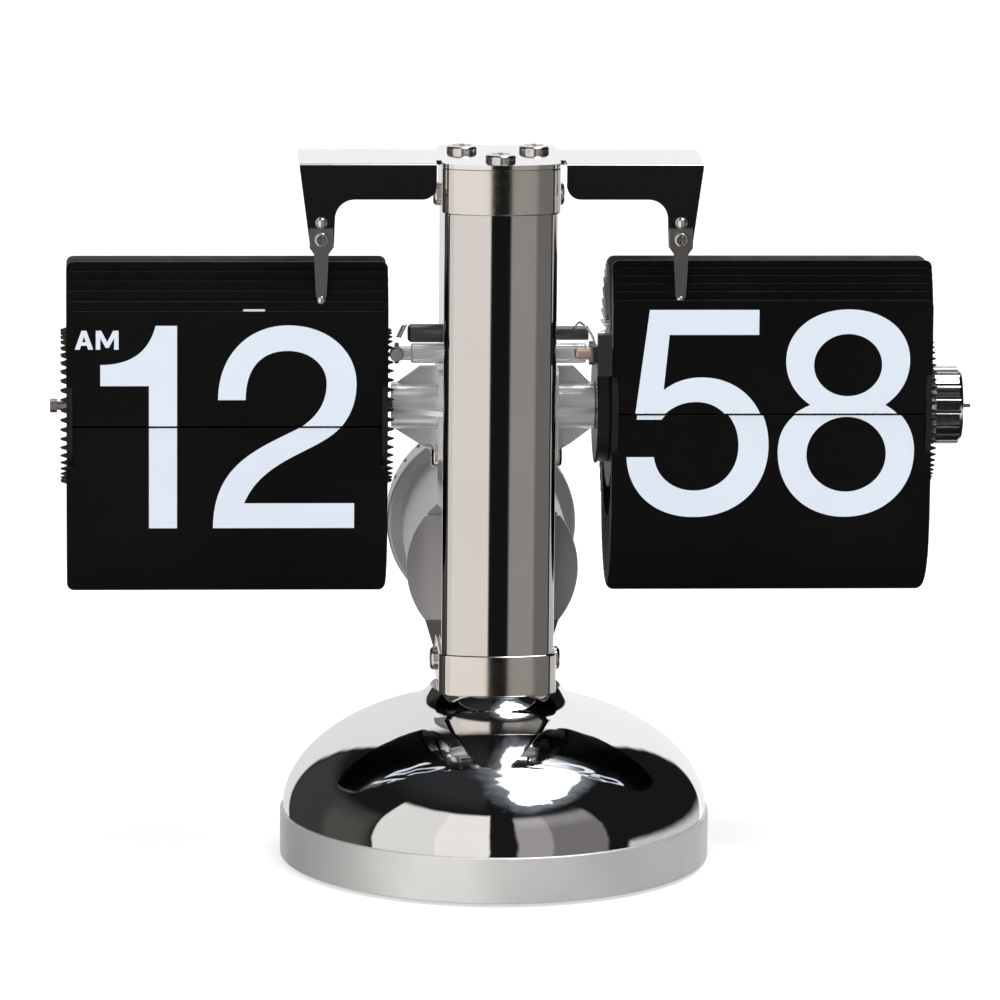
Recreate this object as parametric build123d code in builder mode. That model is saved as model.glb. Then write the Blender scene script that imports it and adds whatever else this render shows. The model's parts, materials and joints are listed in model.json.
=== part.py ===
"""Two-display flip number clock on a domed base, as an assembly of separate pieces.

Frame: millimetres, +Z up, the front faces -Y, +X is the viewer's right.
The origin is the centre of the foot pad's underside, on the base's axis.
"""
from build123d import *
from math import cos, radians, sin, sqrt
import os

os.makedirs("parts", exist_ok=True)

# ---------------------------------------------------------------- driving dimensions
BASE_R = 49.0            # outer radius of the rim band
RIM_TOP = 11.4           # height of the band's top edge
DOME_R = 48.4            # radius where the dome springs from the band
DOME_RISE = 27.0         # height of the dome's ellipse above the band
FLARE_R = 10.0           # radius of the concave flare at the neck
NECK_R = 13.2            # radius that the flare runs up to
NECK_TOP = 40.1          # the pillar stands here
SHEET = 1.0              # wall of the spun dome

PILLAR_HALF = 12.75      # half width of the pillar
PILLAR_FRONT = -13.3     # foremost line of its bowed front
PILLAR_BACK = 16.5       # back edge of its side walls
PILLAR_WALL = 0.9
BOW_R = 35.3             # radius of the bowed front, seen from above
CORNER_R = 3.0           # rounded front corners
PLATE_Z = 161.0          # underside of the top bracket
PLATE_T = 1.0
COLLAR_T = 0.6           # how far the collars stand out of the pillar
TOP_COLLAR_Z = 150.5     # lower edge of the top collar
LOW_COLLAR_TOP = 49.6    # upper edge of the bottom collar

AXLE_Y = 5.0             # the drums' common axle
AXLE_Z = 104.0
AXLE_R = 1.0
RUN = 0.05               # radial clearance of a running fit
ARBOR_R = 1.5            # outside of the drums' hollow arbors
BUSH_R = 3.0

DISPLAY_X = 61.4         # middle of each display, left and right of the pillar
FLAP_HALF = 36.15        # half width of a flap
FLAP_INNER = 34.6        # half width beside the drum's side discs
FLAP_LONG = 25.2         # pivot to free edge
FLAP_T = 0.22
FLAP_GAP = 0.09          # air between neighbouring flaps
EAR = 0.9                # how far the pivot ears stand out at each side
NOTCH = 8.1              # pivot to the step in the flap's side edge
PIVOT_R = 17.2           # circle that the pivots lie on
DISC_R = 18.5            # drum side disc
HOURS = 48               # hour flaps, two for each hour
MINUTES = 60
HOUR_PHASE = -2.0        # degrees from the front to the front upper flap's pivot
MINUTE_PHASE = 6.7

WEB_Y = -11.3            # front face of the bracket's webs and legs
RETAINER_T = 0.5
LEG_X = 40.4             # middle of each leg
TIP_Z = 131.4            # lower end of the retainer fingers

ROCKER_Y = 2.0           # the release rocker's shaft
ROCKER_Z = 116.6
ROCKER_R = 1.6

BARREL_Z = 63.8          # battery barrel, its axis along Y
BARREL_R = 19.4
CELL_R = 17.1            # D cell
CELL_LONG = 61.5

MODULE = 0.33            # minute pinion, wheel and motor pinion
MINUTE_TEETH = 12
WHEEL_TEETH = 60
LAY_TEETH = 10
HOUR_TEETH = 48
MOTOR_TEETH = 10
LAY_DROP = MODULE * (MINUTE_TEETH + WHEEL_TEETH) / 2
LAY_Z = AXLE_Z - LAY_DROP
HOUR_MODULE = 2 * LAY_DROP / (LAY_TEETH + HOUR_TEETH)
MOTOR_Z = LAY_Z - MODULE * (WHEEL_TEETH + MOTOR_TEETH) / 2


# ---------------------------------------------------------------- helpers
def save(piece, name):
    """Label a finished piece and write it to its own STEP file."""
    piece.part.label = name
    export_step(piece.part, f"parts/{name}.step")


def across(x):
    """Sketch plane at x that looks along +X, with Y to the right and Z up."""
    return Plane.YZ.offset(x)


def facing(y):
    """Sketch plane at y that faces the front, with X to the right and Z up."""
    return Plane.XZ.offset(-y)


def rod(x0, x1, y, z, radius, hole=0.0):
    """Round bar or tube along X, inside the piece being built."""
    with BuildSketch(across(x0)) as section:
        with Locations((y, z)):
            Circle(radius)
            if hole:
                Circle(hole, mode=Mode.SUBTRACT)
    extrude(section.sketch, amount=x1 - x0)


def bore(x0, x1, y, z, radius):
    """Round hole along X, cut from the piece being built."""
    with BuildSketch(across(x0)) as section:
        with Locations((y, z)):
            Circle(radius)
    extrude(section.sketch, amount=x1 - x0, mode=Mode.SUBTRACT)


def drum_bar(y0, y1, z, radius, inside=0.0):
    """Round bar or tube along Y, inside the piece being built."""
    with BuildSketch(facing(y0)) as section:
        with Locations((0, z)):
            Circle(radius)
            if inside:
                Circle(inside, mode=Mode.SUBTRACT)
    extrude(section.sketch, amount=y0 - y1)


def pillar_section(grow, back=PILLAR_BACK):
    """The pillar's outline from above, grown outwards by so many millimetres."""
    half = PILLAR_HALF + grow
    front = PILLAR_FRONT - grow
    with BuildSketch(mode=Mode.PRIVATE) as outline:
        with Locations((0, (front + back) / 2)):
            Rectangle(2 * half, back - front)
        with Locations((0, PILLAR_FRONT + BOW_R)):
            Circle(BOW_R + grow, mode=Mode.INTERSECT)
        corners = outline.vertices().group_by(Axis.Y)[0]
        fillet(corners, CORNER_R + grow)
    return outline.sketch


def wrap(z0, z1, inner, outer, back):
    """Upright channel between two growths of the pillar's outline, open at the back."""
    with BuildSketch(Plane.XY.offset(z0)) as section:
        add(pillar_section(outer, back))
        add(pillar_section(inner, back + 5), mode=Mode.SUBTRACT)
    extrude(section.sketch, amount=z1 - z0)


def pan_screw(head_r, head_h, shank_r, shank_long):
    """Pan-head Phillips screw, its head on z = 0 and its shank below."""
    with BuildPart() as screw:
        Cylinder(head_r, head_h, align=(Align.CENTER, Align.CENTER, Align.MIN))
        fillet(screw.faces().sort_by(Axis.Z)[-1].edges(), head_h * 0.55)
        with BuildSketch(Plane.XY.offset(head_h)):
            Rectangle(head_r * 1.15, head_r * 0.3)
            Rectangle(head_r * 0.3, head_r * 1.15)
        extrude(amount=-head_h * 0.55, mode=Mode.SUBTRACT)
        Cylinder(shank_r, shank_long, align=(Align.CENTER, Align.CENTER, Align.MAX))
    return screw.part


def gear(x0, x1, y, z, teeth, module, first_tooth):
    """Spur gear between two x positions, one tooth standing at the angle first_tooth."""
    pitch_r = module * teeth / 2
    step = 360 / teeth
    root = pitch_r - 1.25 * module
    tip = pitch_r + 0.8 * module
    points = []
    for tooth in range(teeth):
        middle = first_tooth + tooth * step
        for radius, share in ((root, -0.27), (tip, -0.08), (tip, 0.08), (root, 0.27)):
            angle = radians(middle + share * step)
            points.append((y + radius * cos(angle), z + radius * sin(angle)))
    with BuildSketch(across(x0)) as section:
        with BuildLine():
            Polyline(*points, close=True)
        make_face()
    extrude(section.sketch, amount=x1 - x0)


# ---------------------------------------------------------------- base
def flare(shrink):
    """Ellipse angle where the flare leaves the dome, and the height of the flare's centre."""
    angle = 45.0
    height = 0.0
    while angle < 89.0:
        slope_x = (DOME_RISE - shrink) * cos(radians(angle))
        slope_z = (DOME_R - shrink) * sin(radians(angle))
        reach = (FLARE_R + shrink) / sqrt(slope_x ** 2 + slope_z ** 2)
        height = RIM_TOP + (DOME_RISE - shrink) * sin(radians(angle)) + reach * slope_z
        if (DOME_R - shrink) * cos(radians(angle)) + reach * slope_x <= NECK_R + FLARE_R:
            break
        angle += 0.02
    return angle, height


def dome_solid(shrink, bottom, top, mode):
    """Turned body under the dome's skin: skirt, elliptical bowl, concave flare, flat top."""
    angle, height = flare(shrink)
    radius = FLARE_R + shrink
    edge = DOME_R - shrink
    rise = DOME_RISE - shrink
    with BuildSketch(Plane.XZ) as half:
        with BuildLine():
            leave = (edge * cos(radians(angle)), RIM_TOP + rise * sin(radians(angle)))
            bowl = [(edge * cos(radians(a * angle / 10)), RIM_TOP + rise * sin(radians(a * angle / 10)))
                    for a in range(11)]
            middle_z = (leave[1] + top) / 2
            middle_x = NECK_R + FLARE_R - sqrt(radius ** 2 - (height - middle_z) ** 2)
            top_x = NECK_R + FLARE_R - sqrt(radius ** 2 - (height - top) ** 2)
            Spline(*bowl)
            ThreePointArc(leave, (middle_x, middle_z), (top_x, top))
            Polyline((top_x, top), (0, top), (0, bottom), (edge, bottom), (edge, RIM_TOP))
        make_face()
    revolve(half.sketch, axis=Axis.Z, mode=mode)


with BuildPart() as base_dome:
    dome_solid(0.0, 2.4, NECK_TOP, Mode.ADD)
    dome_solid(SHEET, 0.0, NECK_TOP - 1.2, Mode.SUBTRACT)
    with BuildSketch(Plane.XY.offset(NECK_TOP)):
        Circle(2.6)
    extrude(amount=-3, mode=Mode.SUBTRACT)
save(base_dome, "base_dome")

RIM_FOOT = 0.8
with BuildPart() as base_rim:
    with BuildSketch(Plane.XY.offset(RIM_FOOT)):
        Circle(BASE_R)
        Circle(DOME_R, mode=Mode.SUBTRACT)
    extrude(amount=RIM_TOP - RIM_FOOT)
    fillet(base_rim.edges().filter_by(GeomType.CIRCLE).group_by(SortBy.RADIUS)[-1], 0.4)
save(base_rim, "base_rim")

PLATE_SCREW_RING = 42.0
PLATE_TOP = 2.4
with BuildPart() as base_plate:
    with BuildSketch(Plane.XY.offset(RIM_FOOT)):
        Circle(DOME_R)
        with PolarLocations(PLATE_SCREW_RING, 3, 30):
            Circle(1.2, mode=Mode.SUBTRACT)
    extrude(amount=PLATE_TOP - RIM_FOOT)
    with BuildSketch(Plane.XY.offset(RIM_FOOT)):
        with PolarLocations(PLATE_SCREW_RING, 3, 30):
            Circle(2.4)
    extrude(amount=0.9, mode=Mode.SUBTRACT)
save(base_plate, "base_plate")

with BuildPart() as base_plate_screws:
    with BuildSketch(Plane.XY.offset(RIM_FOOT + 0.1)):
        with PolarLocations(PLATE_SCREW_RING, 3, 30):
            Circle(2.3)
    extrude(amount=0.8)
    with BuildSketch(Plane.XY.offset(RIM_FOOT + 0.9)):
        with PolarLocations(PLATE_SCREW_RING, 3, 30):
            Circle(1.2)
    extrude(amount=5.0)
    with BuildSketch(Plane.XY.offset(RIM_FOOT + 0.1)):
        with PolarLocations(PLATE_SCREW_RING, 3, 30):
            Rectangle(2.6, 0.6)
            Rectangle(0.6, 2.6)
    extrude(amount=0.5, mode=Mode.SUBTRACT)
save(base_plate_screws, "base_plate_screws")

with BuildPart() as foot_pad:
    with BuildSketch():
        Circle(38.0)
    extrude(amount=RIM_FOOT)
save(foot_pad, "foot_pad")

WEIGHT_TOP = 9.4
with BuildPart() as base_weight:
    with BuildSketch(Plane.XY.offset(PLATE_TOP)):
        Circle(45.5)
        Circle(2.6, mode=Mode.SUBTRACT)
        with PolarLocations(PLATE_SCREW_RING, 3, 30):
            Circle(1.2, mode=Mode.SUBTRACT)
    extrude(amount=WEIGHT_TOP - PLATE_TOP)
    with BuildSketch(Plane.XY.offset(PLATE_TOP)):
        Circle(5.2)
    extrude(amount=4.2, mode=Mode.SUBTRACT)
    fillet(base_weight.faces().sort_by(Axis.Z)[-1].edges().sort_by(SortBy.RADIUS)[-1], 1.2)
save(base_weight, "base_weight")

FOOT_BLOCK_TOP = 58.0
with BuildPart() as spacer_tube:
    with BuildSketch(Plane.XY.offset(WEIGHT_TOP)):
        Circle(6.0)
        Circle(2.6, mode=Mode.SUBTRACT)
    extrude(amount=NECK_TOP - 1.2 - WEIGHT_TOP)
save(spacer_tube, "spacer_tube")

with BuildPart() as pillar_bolt:
    with BuildSketch(Plane.XY.offset(PLATE_TOP + 0.2)):
        RegularPolygon(4.4, 6)
    extrude(amount=4.0)
    with BuildSketch(Plane.XY.offset(PLATE_TOP + 4.2)):
        Circle(2.5)
    extrude(amount=FOOT_BLOCK_TOP - 4 - PLATE_TOP - 4.2)
save(pillar_bolt, "pillar_bolt")

# ---------------------------------------------------------------- pillar
SIDE_SCREW_Y = 3.0
SIDE_SCREW_ZS = (153.0, 92.8, 45.6)
CROSS_Y = 12.0
CROSS_Z = 119.4
CROSS_R = 2.1
SLEEVE_R = 2.3
INSIDE = PILLAR_HALF - PILLAR_WALL

with BuildPart() as pillar_shell:
    wrap(NECK_TOP, PLATE_Z, -PILLAR_WALL, 0.0, PILLAR_BACK)
    bore(-20, 40, AXLE_Y, AXLE_Z, BUSH_R)
    bore(-20, 40, ROCKER_Y, ROCKER_Z, SLEEVE_R)
    bore(-20, 40, CROSS_Y, CROSS_Z, CROSS_R)
    for z in SIDE_SCREW_ZS:
        bore(-20, 40, SIDE_SCREW_Y, z, 1.2)
save(pillar_shell, "pillar_shell")

BACK_T = 1.0
with BuildPart() as pillar_back:
    with BuildSketch(facing(PILLAR_BACK - BACK_T)):
        with Locations((0, (NECK_TOP + PLATE_Z) / 2)):
            Rectangle(2 * INSIDE, PLATE_Z - NECK_TOP)
        with Locations((0, BARREL_Z)):
            Circle(4.0, mode=Mode.SUBTRACT)
        with Locations((0, 148), (0, 88)):
            Circle(1.2, mode=Mode.SUBTRACT)
    extrude(amount=-BACK_T)
save(pillar_back, "pillar_back")

for name, low, high in (("top_collar", TOP_COLLAR_Z, PLATE_Z), ("bottom_collar", NECK_TOP, LOW_COLLAR_TOP)):
    with BuildPart() as collar:
        wrap(low, high, 0.0, COLLAR_T, 12.0)
        for z in SIDE_SCREW_ZS:
            bore(-20, 40, SIDE_SCREW_Y, z, 1.2)
        front_edges = collar.faces().sort_by(Axis.Y)[0].edges().filter_by(GeomType.CIRCLE)
        fillet(front_edges, COLLAR_T * 0.8)
    save(collar, name)

with BuildPart() as top_block:
    with BuildSketch(Plane.XY.offset(149.0)):
        add(pillar_section(-PILLAR_WALL, PILLAR_BACK - BACK_T))
    extrude(amount=PLATE_Z - 149.0)
    with BuildSketch(Plane.XY.offset(PLATE_Z)):
        with Locations((0, -5.0), (-8.2, 8.0), (8.2, 8.0)):
            Circle(1.5)
    extrude(amount=-8.0, mode=Mode.SUBTRACT)
    bore(-20, 40, SIDE_SCREW_Y, SIDE_SCREW_ZS[0], 1.2)
save(top_block, "top_block")

with BuildPart() as foot_block:
    with BuildSketch(Plane.XY.offset(NECK_TOP)):
        add(pillar_section(-PILLAR_WALL, PILLAR_BACK - BACK_T))
        Circle(2.5, mode=Mode.SUBTRACT)
    extrude(amount=8.0)
    with BuildSketch(Plane.XY.offset(NECK_TOP + 8.0)):
        Circle(6.5)
        Circle(2.5, mode=Mode.SUBTRACT)
    extrude(amount=FOOT_BLOCK_TOP - 4 - NECK_TOP - 8.0)
    bore(-20, -6, SIDE_SCREW_Y, SIDE_SCREW_ZS[2], 1.2)
    bore(6, 20, SIDE_SCREW_Y, SIDE_SCREW_ZS[2], 1.2)
save(foot_block, "foot_block")

# ---------------------------------------------------------------- top bracket and its screws
RETAINER_SCREW_Z = 144.9
ARM_END = 45.3
WEB_LOW = 153.9
LEG_LOW = 143.0
LEG_IN = 37.6
LEG_OUT = 42.9
GAP_X = 14.6
ARM_BACK = 10.4
WEB_T = 1.0
TOP_SCREWS = ((0, -5.0), (-8.2, 8.0), (8.2, 8.0))

with BuildPart() as top_bracket:
    with BuildSketch(Plane.XY.offset(PLATE_Z)):
        add(pillar_section(COLLAR_T, PILLAR_BACK))
        for side in (-1, 1):
            with Locations((side * (GAP_X + ARM_END) / 2, (WEB_Y + ARM_BACK) / 2)):
                Rectangle(ARM_END - GAP_X, ARM_BACK - WEB_Y)
            with Locations((side * 13.5, (ARM_BACK - 6.0) / 2)):
                Rectangle(4.0, ARM_BACK + 6.0)
        with Locations(*TOP_SCREWS):
            Circle(1.6, mode=Mode.SUBTRACT)
    extrude(amount=PLATE_T)
    for side in (-1, 1):
        with BuildSketch(facing(WEB_Y)):
            with BuildLine():
                outer_low = (side * LEG_OUT, LEG_LOW)
                Polyline((side * ARM_END, PLATE_Z), outer_low, (side * LEG_IN, LEG_LOW),
                         (side * (LEG_IN - 0.4), WEB_LOW), (side * GAP_X, WEB_LOW), (side * GAP_X, PLATE_Z),
                         (side * ARM_END, PLATE_Z))
            make_face()
        extrude(amount=-WEB_T)
        knee_edge = top_bracket.edges().filter_by(Axis.Y).sort_by_distance(
            (side * (LEG_IN - 0.4), WEB_Y, WEB_LOW))[0]
        fillet(knee_edge, 4.4)
        heel_edge = top_bracket.edges().filter_by(Axis.Y).sort_by_distance((side * GAP_X, WEB_Y, WEB_LOW))[0]
        fillet(heel_edge, 3.2)
        bend_edge = top_bracket.edges().filter_by(Axis.X).sort_by_distance(
            (side * 30, WEB_Y, PLATE_Z + PLATE_T))[0]
        fillet(bend_edge, 0.9)
        with BuildSketch(facing(WEB_Y)):
            with Locations((side * LEG_X, RETAINER_SCREW_Z)):
                Circle(0.9)
        extrude(amount=-WEB_T, mode=Mode.SUBTRACT)
save(top_bracket, "top_bracket")

screw = pan_screw(3.45, 1.3, 1.5, 7.0)
with BuildPart() as top_screws:
    with Locations(*[(x, y, PLATE_Z + PLATE_T) for x, y in TOP_SCREWS]):
        add(screw)
save(top_screws, "top_screws")

side_screw = pan_screw(2.7, 1.5, 1.2, 2.0)
with BuildPart() as side_screws:
    for z in SIDE_SCREW_ZS:
        reach = PILLAR_HALF + COLLAR_T
        for side in (-1, 1):
            seat = Plane(origin=(side * reach, SIDE_SCREW_Y, z), x_dir=(0, 1, 0), z_dir=(side, 0, 0))
            with Locations(seat.location):
                add(side_screw)
save(side_screws, "side_screws")

# ---------------------------------------------------------------- flap retainers
RETAINER_TOP = 147.4
SHOULDER_Z = 142.2
RING_Z = 148.6
RETAINER_FRONT = WEB_Y - RETAINER_T
with BuildPart() as retainers:
    for middle in (-LEG_X, LEG_X):
        with BuildSketch(facing(WEB_Y)):
            with BuildLine():
                Polyline((middle - 2.65, RETAINER_TOP), (middle + 2.65, RETAINER_TOP),
                         (middle + 2.65, SHOULDER_Z + 0.8), (middle + 1.65, SHOULDER_Z - 0.6),
                         (middle + 1.15, TIP_Z), (middle - 1.15, TIP_Z),
                         (middle - 1.65, SHOULDER_Z - 0.6), (middle - 2.65, SHOULDER_Z + 0.8), close=True)
            make_face()
            with Locations((middle, RING_Z)):
                Circle(1.3)
            with Locations((middle, RETAINER_SCREW_Z)):
                Circle(0.9, mode=Mode.SUBTRACT)
        extrude(amount=RETAINER_T)
    tip_edges = retainers.edges().filter_by(Axis.Y).group_by(Axis.Z)[0]
    fillet(tip_edges, 0.9)
save(retainers, "retainers")

small_screw = pan_screw(1.6, 0.8, 0.9, 1.4)
with BuildPart() as retainer_screws:
    for side in (-1, 1):
        seat = Plane(origin=(side * LEG_X, RETAINER_FRONT, RETAINER_SCREW_Z), x_dir=(1, 0, 0), z_dir=(0, -1, 0))
        with Locations(seat.location):
            add(small_screw)
save(retainer_screws, "retainer_screws")

# ---------------------------------------------------------------- side bosses, bushes, axle
FLANGE_T = 0.9
BOSS_R = 5.4
LEFT_BOSS_END = 23.8
RIGHT_BOSS_END = 22.1
for name, side, end in (("boss_left", -1, LEFT_BOSS_END), ("boss_right", 1, RIGHT_BOSS_END)):
    face = side * PILLAR_HALF
    with BuildPart() as boss:
        with BuildSketch(across(face)):
            with Locations((AXLE_Y, AXLE_Z - 1.0)):
                RectangleRounded(19.0, 21.0, 2.0)
        extrude(amount=side * FLANGE_T)
        with BuildSketch(across(face)):
            with Locations((AXLE_Y, AXLE_Z)):
                Circle(BOSS_R)
        extrude(amount=side * (end - PILLAR_HALF))
        with BuildSketch(facing(AXLE_Y)):
            with BuildLine():
                Polyline((face, AXLE_Z + 9.2), (side * 17.4, AXLE_Z + 9.2), (side * (end - 0.3), AXLE_Z + 4.6),
                         (side * (end - 0.3), AXLE_Z - 5.0), (side * 13.7, AXLE_Z - 11.2),
                         (face, AXLE_Z - 11.2), close=True)
            make_face()
        extrude(amount=0.7, both=True)
        with BuildSketch(Plane.XY.offset(AXLE_Z)):
            with BuildLine():
                Polyline((face, AXLE_Y - 11.4), (side * end, AXLE_Y - 6.2), (side * end, AXLE_Y + 6.2),
                         (face, AXLE_Y + 9.2), close=True)
            make_face()
        extrude(amount=0.6, both=True)
        bore(-30, 60, AXLE_Y, AXLE_Z, BUSH_R)
        bore(-30, 60, ROCKER_Y, ROCKER_Z, SLEEVE_R)
        bore(-20, 40, SIDE_SCREW_Y, SIDE_SCREW_ZS[1], 2.75)
    save(boss, name)

PLATE_IN = 10.8
with BuildPart() as arbor_bushes:
    rod(-LEFT_BOSS_END, -PLATE_IN, AXLE_Y, AXLE_Z, BUSH_R, ARBOR_R + RUN)
    rod(PLATE_IN, RIGHT_BOSS_END, AXLE_Y, AXLE_Z, BUSH_R, ARBOR_R + RUN)
save(arbor_bushes, "arbor_bushes")

AXLE_LEFT = -101.3
KNOB_OUT = 105.8
TIP_STEP = 0.4
with BuildPart() as axle:
    rod(AXLE_LEFT, KNOB_OUT - TIP_STEP, AXLE_Y, AXLE_Z, AXLE_R)
    rod(KNOB_OUT - TIP_STEP, KNOB_OUT + 2.4, AXLE_Y, AXLE_Z, 0.6)
    rod(AXLE_LEFT, AXLE_LEFT + 1.6, AXLE_Y, AXLE_Z, 1.6)
    chamfer(axle.faces().sort_by(Axis.X)[0].edges(), 0.15)
save(axle, "axle")

# ---------------------------------------------------------------- flaps
HELD_UP = 41.0           # flaps with pivots below this angle are held upright by the retainers


def flap_outline(edge):
    """Flap seen square on: pivot line on y = 0, free edge up, ears at the sides."""
    with BuildSketch(mode=Mode.PRIVATE) as outline:
        with Locations((0, (NOTCH + FLAP_LONG) / 2)):
            Rectangle(2 * FLAP_HALF, FLAP_LONG - NOTCH)
        fillet(outline.vertices().group_by(Axis.Y)[-1], 1.6)
        with Locations((0, (NOTCH - edge) / 2)):
            Rectangle(2 * FLAP_INNER, NOTCH + edge)
        Rectangle(2 * FLAP_INNER + 2 * EAR, 0.7)
    return outline.sketch


def lean(pivot):
    """How far a flap leans back from upright, in degrees, by its pivot's place on the drum."""
    if pivot <= 8:
        return 1.0
    if pivot < HELD_UP:
        return 2.0 + 0.1 * (pivot - 8.0)
    if pivot <= 90:
        return 28.0 + 54.0 * ((pivot - HELD_UP) / (90.0 - HELD_UP)) ** 1.2
    if pivot < 188:
        return pivot - 8.0
    return 180.0


def flap_planes(count, phase):
    """Every flap's plane, from the front upper one over the top, round the back and up the front."""
    step = 360.0 / count
    planes = []
    depth = {}
    pivots = [phase + step * k for k in range(count)]
    natural = [AXLE_Y - PIVOT_R * cos(radians(p)) for p in pivots]
    depth[count - 1] = natural[count - 1]
    for k in range(count - 2, count - 12, -1):
        depth[k] = max(natural[k], depth[k + 1] + FLAP_T + FLAP_GAP)
    depth[0] = depth[count - 1] - FLAP_T - FLAP_GAP
    for k in range(1, 8):
        depth[k] = max(natural[k], depth[k - 1] + FLAP_T + FLAP_GAP)
    for k, pivot in enumerate(pivots):
        tilt = radians(lean(pivot))
        y = depth.get(k, natural[k])
        z = AXLE_Z + PIVOT_R * sin(radians(pivot))
        planes.append(Plane(origin=(0, y, z), x_dir=(1, 0, 0), z_dir=(0, -cos(tilt), sin(tilt))))
    return planes


def flap_set(name, side, outline, planes):
    """Flaps on the given planes, as separate solids in one node."""
    with BuildPart() as one:
        with BuildSketch():
            add(outline)
        extrude(amount=FLAP_T / 2, both=True)
    with BuildPart() as flaps:
        with Locations(*[Plane(origin=(side * DISPLAY_X, p.origin.Y, p.origin.Z), x_dir=(1, 0, 0),
                               z_dir=p.z_dir).location for p in planes]):
            add(one.part)
    save(flaps, name)


for prefix, side, count, phase in (("hour", -1, HOURS, HOUR_PHASE), ("minute", 1, MINUTES, MINUTE_PHASE)):
    hinge_edge = 0.37 * 2 * PIVOT_R * sin(radians(180.0 / count))
    outline = flap_outline(hinge_edge)
    planes = flap_planes(count, phase)
    hanging = round(count * 0.53)
    flap_set(prefix + "_upper_flap", side, outline, planes[0:1])
    flap_set(prefix + "_fanned_flaps", side, outline, planes[1:hanging])
    flap_set(prefix + "_hanging_flaps", side, outline, planes[hanging:count - 1])
    flap_set(prefix + "_lower_flap", side, outline, planes[count - 1:])

# ---------------------------------------------------------------- drums
DISC_IN = 34.75
DISC_OUT = 36.1
EAR_OUT = 37.5
EAR_R = 0.62
GROOVE_IN = 16.5         # ring groove in which the flaps' ears ride
GROOVE_OUT = 18.05
HUB_R = 5.0
for prefix, side, count in (("hour", -1, HOURS), ("minute", 1, MINUTES)):
    with BuildPart() as discs:
        for way in (-1, 1):
            inside = side * DISPLAY_X + way * DISC_IN
            with BuildSketch(across(inside)):
                with Locations((AXLE_Y, AXLE_Z)):
                    Circle(DISC_R)
                    Circle(ARBOR_R if way == -side else AXLE_R + RUN, mode=Mode.SUBTRACT)
            extrude(amount=way * (DISC_OUT - DISC_IN))
            with BuildSketch(across(inside)):
                with Locations((AXLE_Y, AXLE_Z)):
                    Circle(GROOVE_OUT)
                    Circle(GROOVE_IN, mode=Mode.SUBTRACT)
            extrude(amount=way * 0.9, mode=Mode.SUBTRACT)
            if prefix == "hour" or way == side:
                with BuildSketch(across(side * DISPLAY_X + way * DISC_OUT)):
                    with Locations((AXLE_Y, AXLE_Z)):
                        with PolarLocations(PIVOT_R, count):
                            Circle(EAR_R)
                extrude(amount=way * (EAR_OUT - DISC_OUT), taper=18)
    save(discs, prefix + "_drum_discs")

HOUR_GEAR_X = (-8.0, -6.0)
MINUTE_PINION_X = (5.0, 8.0)
with BuildPart() as hour_drum_core:
    rod(-DISPLAY_X - DISC_IN, -DISPLAY_X + DISC_IN, AXLE_Y, AXLE_Z, HUB_R, AXLE_R + RUN)
    rod(-DISPLAY_X + DISC_IN, HOUR_GEAR_X[1] + 1.0, AXLE_Y, AXLE_Z, ARBOR_R, AXLE_R + RUN)
save(hour_drum_core, "hour_drum_core")

with BuildPart() as hour_gear:
    gear(*HOUR_GEAR_X, AXLE_Y, AXLE_Z, HOUR_TEETH, HOUR_MODULE, 270 + 180 / HOUR_TEETH)
    bore(-9, -5, AXLE_Y, AXLE_Z, ARBOR_R)
save(hour_gear, "hour_gear")

with BuildPart() as minute_drum_core:
    rod(DISPLAY_X - DISC_IN, DISPLAY_X + DISC_IN, AXLE_Y, AXLE_Z, HUB_R, AXLE_R + RUN)
    rod(MINUTE_PINION_X[1], DISPLAY_X - DISC_IN, AXLE_Y, AXLE_Z, ARBOR_R, AXLE_R + RUN)
    gear(*MINUTE_PINION_X, AXLE_Y, AXLE_Z, MINUTE_TEETH, MODULE, 270 + 180 / MINUTE_TEETH)
    bore(*MINUTE_PINION_X, AXLE_Y, AXLE_Z, AXLE_R + RUN)
save(minute_drum_core, "minute_drum_core")

CAM_R = 12.8
CAM_X = (22.3, DISPLAY_X - DISC_OUT)
with BuildPart() as cam_wheel:
    rod(CAM_X[0] + 0.5, CAM_X[1], AXLE_Y, AXLE_Z, CAM_R)
    fillet(cam_wheel.edges().filter_by(GeomType.CIRCLE).group_by(Axis.X)[-1], 0.4)
    gear(CAM_X[0], CAM_X[0] + 0.5, AXLE_Y, AXLE_Z, 72, 2 * CAM_R / 72, 0)
    bore(*CAM_X, AXLE_Y, AXLE_Z, ARBOR_R)
save(cam_wheel, "cam_wheel")

KNOB_R = 9.0
KNOB_IN = 99.6
FLUTES = 18
with BuildPart() as knob:
    rod(KNOB_IN, KNOB_OUT, AXLE_Y, AXLE_Z, KNOB_R)
    chamfer(knob.faces().sort_by(Axis.X)[-1].edges(), 0.9)
    with BuildSketch(across(KNOB_IN)):
        with Locations((AXLE_Y, AXLE_Z)):
            with PolarLocations(KNOB_R + 0.25, FLUTES):
                Circle(0.62)
    extrude(amount=KNOB_OUT - KNOB_IN, mode=Mode.SUBTRACT)
    rod(DISPLAY_X + DISC_OUT, KNOB_IN, AXLE_Y, AXLE_Z, 4.0)
    bore(DISPLAY_X + DISC_OUT, KNOB_OUT, AXLE_Y, AXLE_Z, AXLE_R + RUN)
save(knob, "knob")

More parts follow.
